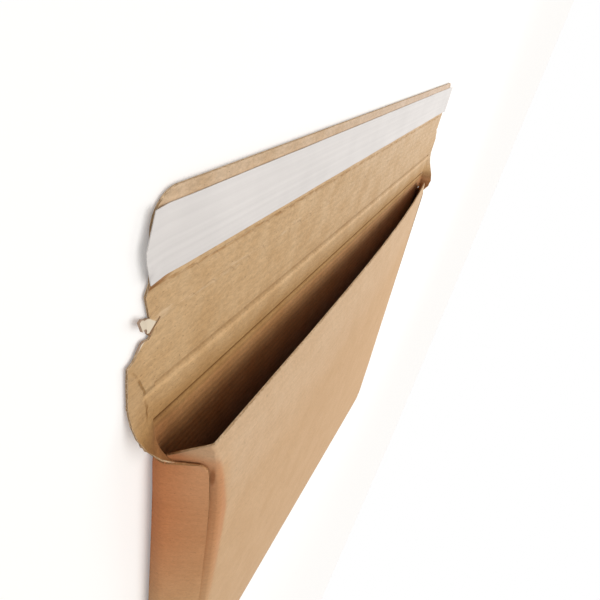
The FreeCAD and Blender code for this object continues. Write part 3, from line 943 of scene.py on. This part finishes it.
for vert in board_shape.verts:
    x, y = vert.co.x, vert.co.y
    tear_askew(vert)
    vert.co.x -= strip_bulge(x, y)
    vert.co.y -= slit_slant(x, y)
    if vert.co.y > CREASE_B and -HAIR < vert.co.z < BOARD_THICK + HAIR:
        vert.co.z += lie(vert.co.x, vert.co.y)
    if y < TEAR_LOW - 0.2 * MM:
        vert.co.y -= ear_droop(vert.co.x, vert.co.y)

board_mesh = bpy.data.meshes.new("board_dressed")
board_shape.to_mesh(board_mesh)
board_shape.free()
for paper in papers:
    board_mesh.materials.append(paper)
board_mesh.set_sharp_from_angle(angle=math.radians(38.0))
board_look = bpy.data.objects.new("board_dressed", board_mesh)
scene.collection.objects.link(board_look)
for polygon in board_mesh.polygons:
    polygon.use_smooth = True
weighted = board_look.modifiers.new("even_shading", "WEIGHTED_NORMAL")
weighted.keep_sharp = True
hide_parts("board")
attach(board_look, "root")
print("board dressed:", len(board_mesh.polygons), "faces")


# %% [markdown]
# ## Release liner and adhesive
#
# The liner is a thin strip of white siliconed paper. It has a slight sheen, faint lines
# where the flutes press through, and soft ripples, because it is only held down by the
# adhesive. Its loose ends stand off the board, and the near one is cut askew. The adhesive
# under it is a milky film. A cloth simulation could drape both, but the strips lie so
# close to the flap that following its height, plus a little noise, looks the same.

# %% Liner paper and adhesive film
def liner_paper():
    """White siliconed paper."""
    paper, tree, shader = new_material("liner_paper", 0.42, 0.45)
    tone = smooth(tree, cloud(tree, (1.0, 1.0, 1.0), 40.0, 3.0), 0.3, 0.7, 0.96, 1.03)
    colour = tint(tree, (0.70, 0.665, 0.645), 1.0, tone)
    streaks = smooth(tree, cloud(tree, (8.0, 900.0, 1.0), 1.0, 2.0), 0.3, 0.7, 0.975, 1.02)
    colour = tint(tree, colour, 1.0, streaks)
    # Painted shade in the troughs of the faint washboard lines.
    flutes = washboard(tree)
    colour = tint(tree, colour, 1.0, sums(tree, "MULTIPLY_ADD", flutes, -0.025, 1.0))
    height = sums(tree, "MULTIPLY_ADD", flutes, -0.03 * MM, fibre_height(tree, 0.02 * MM))
    finish_material(tree, shader, colour, height)
    return paper


def adhesive_film():
    """Milky pressure-sensitive film."""
    film, tree, shader = new_material("adhesive_film", 0.25, 0.5)
    tone = smooth(tree, cloud(tree, (300.0, 300.0, 1.0), 1.0, 3.0), 0.3, 0.7, 0.9, 1.05)
    colour = tint(tree, (0.72, 0.66, 0.52), 1.0, tone)
    finish_material(tree, shader, colour, sums(tree, "MULTIPLY", tone, 0.03 * MM))
    return film


strip_finishes = {"release_liner": liner_paper(), "adhesive_strip": adhesive_film()}
print("strips' materials:", [finish.name for finish in strip_finishes.values()])


# %% [markdown]
# ## Laying the strips on the flap
#
# Each strip starts as a copy of its solid, sliced finely enough to follow the flap and to
# ripple. A Shrinkwrap modifier could press it onto the board, but it would also close the
# thin gaps that keep the surfaces apart. The height of the flap is a known formula here, so
# adding it to every point keeps those gaps. The liner's near end is cut askew, pointed a
# little below its middle.

# %% Lay the strips on the flap
def end_askew(x, across):
    """How far the near end of a strip is cut back, or out where it is below 0."""
    off = across - 0.45
    return ramp(-x, SIDE - 6.5 * MM, SIDE + 1.9 * MM) * (max(-4.4 * off, 5.6 * off) - 1.3)


def laid_on_flap(part, x_step, ripple, askew):
    """A copy of a strip that follows the flap, with ripples and an end cut askew."""
    shape = joined(part)
    (low_x, low_y, _), (high_x, high_y, _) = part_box(part)
    count = int((high_x - low_x) / x_step)
    slice_at(shape, "x", [low_x + x_step * i for i in range(1, count + 1)])
    slice_at(shape, "y", [low_y + (high_y - low_y) * i / 8.0 for i in range(1, 8)])
    for vert in shape.verts:
        x, y, _ = vert.co
        wave = noise.noise(Vector((x * 55.0, y * 18.0, 7.0)))
        vert.co.z += lie(x, y) + ripple * max(0.0, 0.4 + wave)
        vert.co.x += askew * end_askew(x, (y - low_y) / (high_y - low_y))
    mesh = bpy.data.meshes.new(part + "_dressed")
    shape.to_mesh(mesh)
    shape.free()
    mesh.materials.append(strip_finishes[part])
    for polygon in mesh.polygons:
        polygon.use_smooth = True
    mesh.set_sharp_from_angle(angle=math.radians(35.0))
    strip = bpy.data.objects.new(part + "_dressed", mesh)
    scene.collection.objects.link(strip)
    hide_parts(part)
    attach(strip, "root")
    print(strip.name, len(mesh.polygons), "faces")


laid_on_flap("release_liner", 4.0 * MM, 0.12 * MM, 1.0 * MM)
laid_on_flap("adhesive_strip", 12.0 * MM, 0.0, 0.0)


# %% [markdown]
# ## Finish
#
# The plain solids get their paper too, so that they look right wherever they are shown by
# themselves.

# %% Finish
for part, finish in (("board", papers[INSIDE]), *strip_finishes.items()):
    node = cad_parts[part].data
    node.materials.clear()
    node.materials.append(finish)
